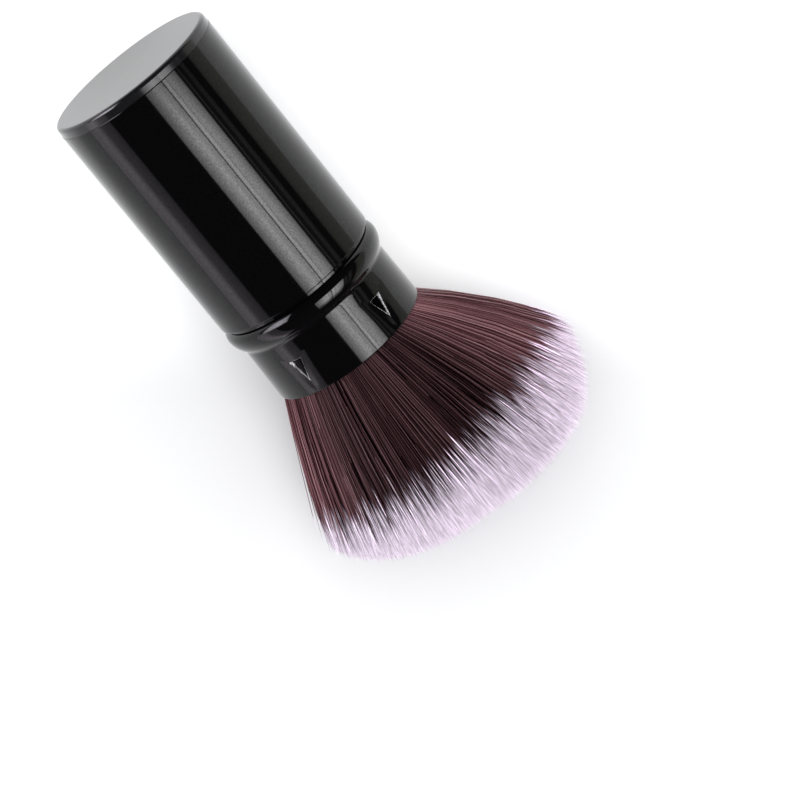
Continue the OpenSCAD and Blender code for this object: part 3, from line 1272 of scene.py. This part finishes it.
    def build(self, material: bpy.types.Material) -> list[bpy.types.Object]:
        """Builds the tuft in pieces that each hold a part of the fibres.

        Args:
            material: Fibre.

        Returns:
            The pieces.
        """
        style = self.style
        rng = np.random.default_rng(style.seed)
        points, marks = self.fibres(rng)
        level, across, faces = self.fibre_pattern()
        taper_line = np.array([*style.taper, (1.0, style.tip_thick / style.thick)])
        taper = np.interp(style.levels, *taper_line.T)
        along = np.gradient(points, axis=1)
        along /= np.linalg.norm(along, axis=2, keepdims=True)
        side = np.cross(along, np.array([0.0, 0.0, 1.0]))
        side /= np.linalg.norm(side, axis=2, keepdims=True)
        over = np.cross(side, along)
        radius = style.thick * 1.0
        radius = radius * rng.uniform(*style.thick_spread, (len(points), 1, 1))
        spread = (across[None, :, :1] * side[:, level] + across[None, :, 1:] * over[:, level]) * radius
        verts = (points[:, level] + spread * taper[level][None, :, None]) * MM
        pieces = []
        for start in range(0, len(points), style.per_piece):
            part = slice(start, start + style.per_piece)
            name = f"tuft_fibres_{start // style.per_piece + 1:02d}"
            mesh = repeated_mesh(name, verts[part], faces)
            for label, values in marks.items():
                layer = mesh.attributes.new(label, "FLOAT", "POINT")
                layer.data.foreach_set("value", values[part][:, level].astype(np.float32).ravel())
            piece = placed(name, mesh)
            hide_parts("bristle_tuft")
            pieces.append(dress(piece, material))
        return pieces


def repeated_mesh(name: str, verts: np.ndarray, faces: np.ndarray) -> bpy.types.Mesh:
    """Joins many copies of one small shape into a mesh.

    Args:
        name: Name of the mesh.
        verts: Vertices of each copy, in metres.
        faces: Triangles of one copy.

    Returns:
        The mesh, smooth-shaded.
    """
    copies, per_copy = verts.shape[:2]
    corners = (faces[None] + np.arange(copies)[:, None, None] * per_copy).astype(np.int32)
    mesh = bpy.data.meshes.new(name)
    mesh.vertices.add(copies * per_copy)
    mesh.vertices.foreach_set("co", verts.astype(np.float32).ravel())
    mesh.loops.add(corners.size)
    mesh.loops.foreach_set("vertex_index", corners.ravel())
    mesh.polygons.add(corners.size // 3)
    mesh.polygons.foreach_set("loop_start", np.arange(0, corners.size, 3, dtype=np.int32))
    mesh.update(calc_edges=True)
    mesh.validate()
    mesh.shade_smooth()
    return mesh


@dataclass
class InnerPieces:
    """The CAD pieces inside the handle, which keep their shape and get a better finish.

    Attributes:
        nodes: The frame's CAD nodes.
    """

    nodes: dict[str, bpy.types.Object]

    def finish(self, finish: HardFinish, *names: str) -> None:
        """Gives pieces one material.

        Args:
            finish: Their finish.
            *names: The pieces.
        """
        material = finish.material()
        for name in names:
            mesh = self.nodes[name].data
            mesh.materials.clear()
            mesh.materials.append(material)
            LOG.info("dressed %s", name)

    def dress(self) -> None:
        """Gives each inner piece its finish."""
        self.finish(CORE_PLASTIC, "handle_core", "knot_cup")
        self.finish(WEIGHT_STEEL, "base_weight")
        self.finish(KNOT_RESIN, "knot_resin")


def outward(turn: float, lean: float) -> Vector:
    """Direction away from the brush's axis.

    Args:
        turn: From the top towards +Y, in degrees.
        lean: Towards the bristles, in degrees.

    Returns:
        A unit vector.
    """
    turn, lean = math.radians(turn), math.radians(lean)
    return Vector((math.sin(lean), math.cos(lean) * math.sin(turn), math.cos(lean) * math.cos(turn)))


@dataclass(frozen=True)
class Softbox:
    """A broad lamp that lights the fibres, and the table unless it is flagged off.

    Attributes:
        name: Name of the lamp.
        turn: Angle of its middle from the top towards +Y, in degrees.
        lean: Angle towards the bristles, in degrees.
        glow: Radiance.
        wide: Its side round the brush, in metres.
        flagged: Whether a flag keeps it off the table.
        deep: Its side along the brush, in metres.
        away: Distance, in metres.
    """

    name: str
    turn: float
    lean: float
    glow: float
    wide: float
    flagged: bool = True
    deep: float = 1.1
    away: float = 1.0

    def build(self, centre: Vector) -> bpy.types.Object:
        """Hangs the lamp.

        Args:
            centre: The point that it faces, in metres.

        Returns:
            The lamp.
        """
        light = bpy.data.lights.new(self.name, "AREA")
        light.shape = "RECTANGLE"
        light.size, light.size_y = self.wide, self.deep
        light.energy = self.glow * math.pi * light.size * light.size_y
        lamp = placed(self.name, light)
        lamp.visible_glossy = False
        back = outward(self.turn, self.lean)
        round_axis = outward(self.turn + 90.0, 0.0)
        turn = Matrix((round_axis, back.cross(round_axis), back)).transposed().to_4x4()
        lamp.matrix_world = Matrix.Translation(centre + back * self.away) @ turn
        return lamp


@dataclass(frozen=True)
class GlowSheet:
    """A glowing sheet that shows only in the lacquer.

    Attributes:
        name: Name of the sheet.
        glow: Angles from the top towards +Y, in degrees, and the radiance there.
        lean: Angles towards the bristles, in degrees, and the share of the glow there.
        colour: Of its light.
        away: Distance, in metres.
    """

    name: str
    glow: tuple[Point, ...]
    lean: tuple[Point, ...]
    colour: Colour = WHITE
    away: float = 0.7

    def material(self) -> bpy.types.Material:
        """Builds the light.

        Returns:
            The material.
        """
        made, tree, _ = blank_material(self.name)
        made.cycles.emission_sampling = "NONE"
        light = tree.add("ShaderNodeEmission", Color=(*self.colour, 1.0))
        tree.link(tree.attribute("glow"), light.inputs["Strength"])
        tree.link(light.outputs["Emission"], made.node_tree.nodes["Material Output"].inputs["Surface"])
        return made

    def build(self, centre: Vector) -> bpy.types.Object:
        """Hangs the sheet.

        Args:
            centre: The point that it faces, in metres.

        Returns:
            The sheet.
        """
        shape = bmesh.new()
        level = shape.verts.layers.float.new("glow")
        for turn, glow in self.glow:
            for lean, share in self.lean:
                vert = shape.verts.new(centre + outward(turn, lean) * self.away)
                vert[level] = glow * share
        shape.verts.ensure_lookup_table()
        wide = len(self.lean)
        for i in range(len(shape.verts) - wide):
            if (i + 1) % wide:
                shape.faces.new([shape.verts[k] for k in (i, i + 1, i + wide + 1, i + wide)])
        piece = object_from(shape, self.name)
        piece.data.materials.append(self.material())
        for rays in ("camera", "diffuse", "transmission", "shadow"):
            setattr(piece, f"visible_{rays}", False)
        return piece


WHOLE_BRUSH = ((-18.0, 1.0), (56.0, 1.0))
GLOW_SHEETS = (
    # The bands of light and dark that run along the top of the tube.
    GlowSheet("key_sheet", lean=((4.0, 0.0), (10.0, 1.0), (34.0, 1.0), (46.0, 0.3), (54.0, 0.0)), glow=(
        (-3.2, 0.0), (-2.6, 2.6), (0.0, 3.8), (4.0, 5.3), (8.0, 7.5), (12.0, 9.6), (14.5, 9.8),
        (17.0, 7.9), (21.4, 7.4), (22.0, 0.2), (22.8, 0.2), (23.3, 9.8), (26.4, 11.0), (27.4, 8.4),
        (28.0, 5.4), (28.8, 7.6), (32.0, 8.2), (36.0, 6.9), (40.0, 5.0), (43.0, 3.6), (43.8, 0.1),
        (46.8, 0.1), (47.6, 0.9), (49.0, 0.1), (53.0, 0.1), (55.0, 0.38), (58.0, 0.36), (61.0, 0.0))),
    # The soft bands at its two edges.
    GlowSheet("near_sheet", lean=WHOLE_BRUSH, colour=(1.03, 0.95, 1.04), glow=(
        (-104.0, 1.3), (-92.0, 1.65), (-86.0, 1.9), (-82.0, 2.3), (-78.0, 2.2), (-75.0, 1.6),
        (-72.0, 0.92), (-66.0, 0.75), (-60.0, 0.6), (-57.6, 0.0))),
    GlowSheet("far_sheet", lean=WHOLE_BRUSH, colour=(1.03, 1.03, 0.93), glow=(
        (68.5, 0.0), (71.0, 0.45), (75.0, 0.6), (84.0, 0.64), (90.0, 0.7), (96.0, 0.88), (104.0, 0.95))),
    # The highlight on the near end of the bead.
    GlowSheet("bead_sheet", away=0.66, colour=(1.0, 0.96, 1.06),
              lean=((-56.0, 0.0), (-44.0, 1.0), (-18.0, 1.0), (-8.0, 0.0)),
              glow=((-84.0, 0.0), (-80.0, 6.0), (-62.0, 10.0), (-46.0, 8.0), (-41.0, 0.0))),
)
SOFTBOXES = (
    Softbox("overhead_box", turn=-6.0, lean=-20.0, glow=2.1, wide=1.06, flagged=False),
    Softbox("front_box", turn=3.0, lean=50.0, glow=1.6, wide=2.86),
    Softbox("near_box", turn=-76.0, lean=42.0, glow=3.5, wide=0.9),
    Softbox("far_box", turn=66.0, lean=42.0, glow=2.6, wide=0.9),
)


@dataclass
class Studio:
    """The white table, the lamps and sheets round it, and the camera at the photograph's angle.

    Attributes:
        at: Places of the brush.
        frame_px: Side of the picture.
        rim_px: Where the middle of the rim lies in the picture.
        tube_px: Width of the tube in the picture at its mouth.
        distance: From the camera to the rim, in millimetres.
        tilt: Angle of the axis out of the picture plane, away from the camera.
        heading: Angle of the axis in the picture, below the horizontal.
        table_side: Side of the table, in metres.
        table_colour: Its colour.
        table_rough: Its roughness.
        table_gloss: Its specular level.
        table_glow: Radiance of the painted light that the table top gives off beside the handle and on
            the full side.
        glow_turn: How far along the brush the edge of that light moves for each millimetre across.
        glow_soft: Half the width of that edge along the brush, in millimetres.
        aim: Share of the way to the rim that the lamps face.
        tent: Colour of the white tent and of the room.
        tent_glow: Radiance of the tent as it lights matt surfaces.
        room_glow: Radiance of the dark room as it shows in the lacquer.
    """

    at: BrushFrame
    frame_px: float = 800.0
    rim_px: Point = (348.3, 341.5)
    tube_px: float = 183.0
    distance: float = 500.0
    tilt: float = 18.5
    heading: float = 51.0
    table_side: float = 6.0
    table_colour: Colour = (0.825, 0.825, 0.83)
    table_rough: float = 0.9
    table_gloss: float = 0.1
    table_glow: float = 0.38
    glow_turn: float = 0.8
    glow_soft: float = 16.0
    aim: float = 0.8
    tent: Colour = (0.97, 0.98, 1.0)
    tent_glow: float = 0.82
    room_glow: float = 0.035

    def camera(self) -> bpy.types.Object:
        """Places the camera.

        Returns:
            The camera.
        """
        tilt, heading = math.radians(self.tilt), math.radians(self.heading)
        back = Vector((-math.sin(tilt), 0.0, math.cos(tilt)))
        along = Vector((math.cos(tilt), 0.0, math.sin(tilt)))
        across = Vector((0.0, 1.0, 0.0))
        right = along * math.cos(heading) + across * math.sin(heading)
        up = across * math.cos(heading) - along * math.sin(heading)
        mouth_depth = self.distance - (self.at.rim_x - self.at.mouth_x) * math.sin(tilt)
        focal_px = self.tube_px / (2 * self.at.tube_r) * mouth_depth
        off_x = (self.frame_px / 2 - self.rim_px[0]) / focal_px * self.distance
        off_y = (self.rim_px[1] - self.frame_px / 2) / focal_px * self.distance
        rim = Vector((self.at.rim_x, 0.0, 0.0))
        data = bpy.data.cameras.new("photo_camera")
        data.sensor_width = 36.0
        data.lens = focal_px / self.frame_px * data.sensor_width
        data.clip_start, data.clip_end = 0.01, 20.0
        camera = placed("photo_camera", data)
        turn = Matrix((right, up, back)).transposed().to_4x4()
        place = (rim + right * off_x + up * off_y + back * self.distance) * MM
        camera.matrix_world = Matrix.Translation(place) @ turn
        bpy.context.scene.camera = camera
        return camera

    def table(self) -> bpy.types.Object:
        """Lays the table, with painted light on its top: an emission that brightens it beside the handle
        and on the full side.

        Returns:
            The table.
        """
        shape = bmesh.new()
        bmesh.ops.create_grid(shape, x_segments=2, y_segments=2, size=self.table_side / 2)
        bmesh.ops.translate(shape, verts=shape.verts, vec=(0.0, 0.0, self.at.table_z * MM))
        piece = object_from(shape, "studio_floor")
        made, tree, shader = blank_material("pale_floor_painted_light")
        shader.inputs["Base Color"].default_value = (*self.table_colour, 1.0)
        shader.inputs["Roughness"].default_value = self.table_rough
        shader.inputs["Specular IOR Level"].default_value = self.table_gloss
        # Painted light: the table top gives off light of its own, brighter beside the handle and on the
        # full side, so that no shadow shows there.
        shader.inputs["Emission Color"].default_value = (*WHITE, 1.0)
        aside = tree.add("ShaderNodeVectorMath", operation="DOT_PRODUCT")
        aside.inputs[1].default_value = (-1.0 / MM, self.glow_turn / MM, 0.0)
        tree.link(tree.place(), aside.inputs[0])
        start, end = (side * self.glow_soft - self.at.rim_x for side in (-1, 1))
        glow = tree.add("ShaderNodeMapRange", interpolation_type="SMOOTHSTEP",
                        From_Min=start, From_Max=end, To_Max=self.table_glow)
        tree.link(aside.outputs["Value"], glow.inputs["Value"])
        tree.link(glow.outputs["Result"], shader.inputs["Emission Strength"])
        piece.data.materials.append(made)
        return piece

    def lights(self, table: bpy.types.Object) -> None:
        """Hangs the sheets and the softboxes.

        Args:
            table: Kept out of the flagged softboxes' light.
        """
        centre = Vector((self.at.rim_x * self.aim * MM, 0.0, 0.0))
        for sheet in GLOW_SHEETS:
            sheet.build(centre)
        flag = bpy.data.collections.new("flagged_off")
        flag.objects.link(table)
        flag.collection_objects[0].light_linking.link_state = "EXCLUDE"
        for softbox in SOFTBOXES:
            lamp = softbox.build(centre)
            if softbox.flagged:
                lamp.light_linking.receiver_collection = flag

    def room(self) -> None:
        """Puts the tent up in the dark room."""
        world = bpy.data.worlds.new("room")
        world.use_nodes = True
        tree, dome = NodeTree(world.node_tree), world.node_tree.nodes["Background"]
        dome.inputs["Color"].default_value = (*self.tent, 1.0)
        glossy = tree.add("ShaderNodeLightPath").outputs["Is Glossy Ray"]
        tree.link(tree.span(glossy, self.tent_glow, self.room_glow), dome.inputs["Strength"])
        bpy.context.scene.world = world
        bpy.context.scene.view_settings.view_transform = "Standard"


def main() -> None:
    """Builds the brush and its studio in order."""
    logging.basicConfig(level=logging.INFO, format="%(message)s")
    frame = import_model()
    at = BrushFrame.read()
    studio = Studio(at)
    studio.camera()
    studio.lights(studio.table())
    studio.room()
    handle, ferrule, tuft = Handle(at), Ferrule(at), Tuft(at)
    edge = WornGlintEdge(ferrule.stake.length, ferrule.stake.width)
    pieces = [
        handle.shell(LACQUER.material()),
        handle.cap(CAP_PLASTIC.material()),
        ferrule.build(FERRULE_LACQUER.staked(edge)),
        *tuft.build(FibreFinish().material()),
    ]
    InnerPieces(frame["nodes"]).dress()
    for piece in pieces:
        LOG.info("built %s with %d faces", piece.name, len(piece.data.polygons))


if __name__ == "__main__":
    main()
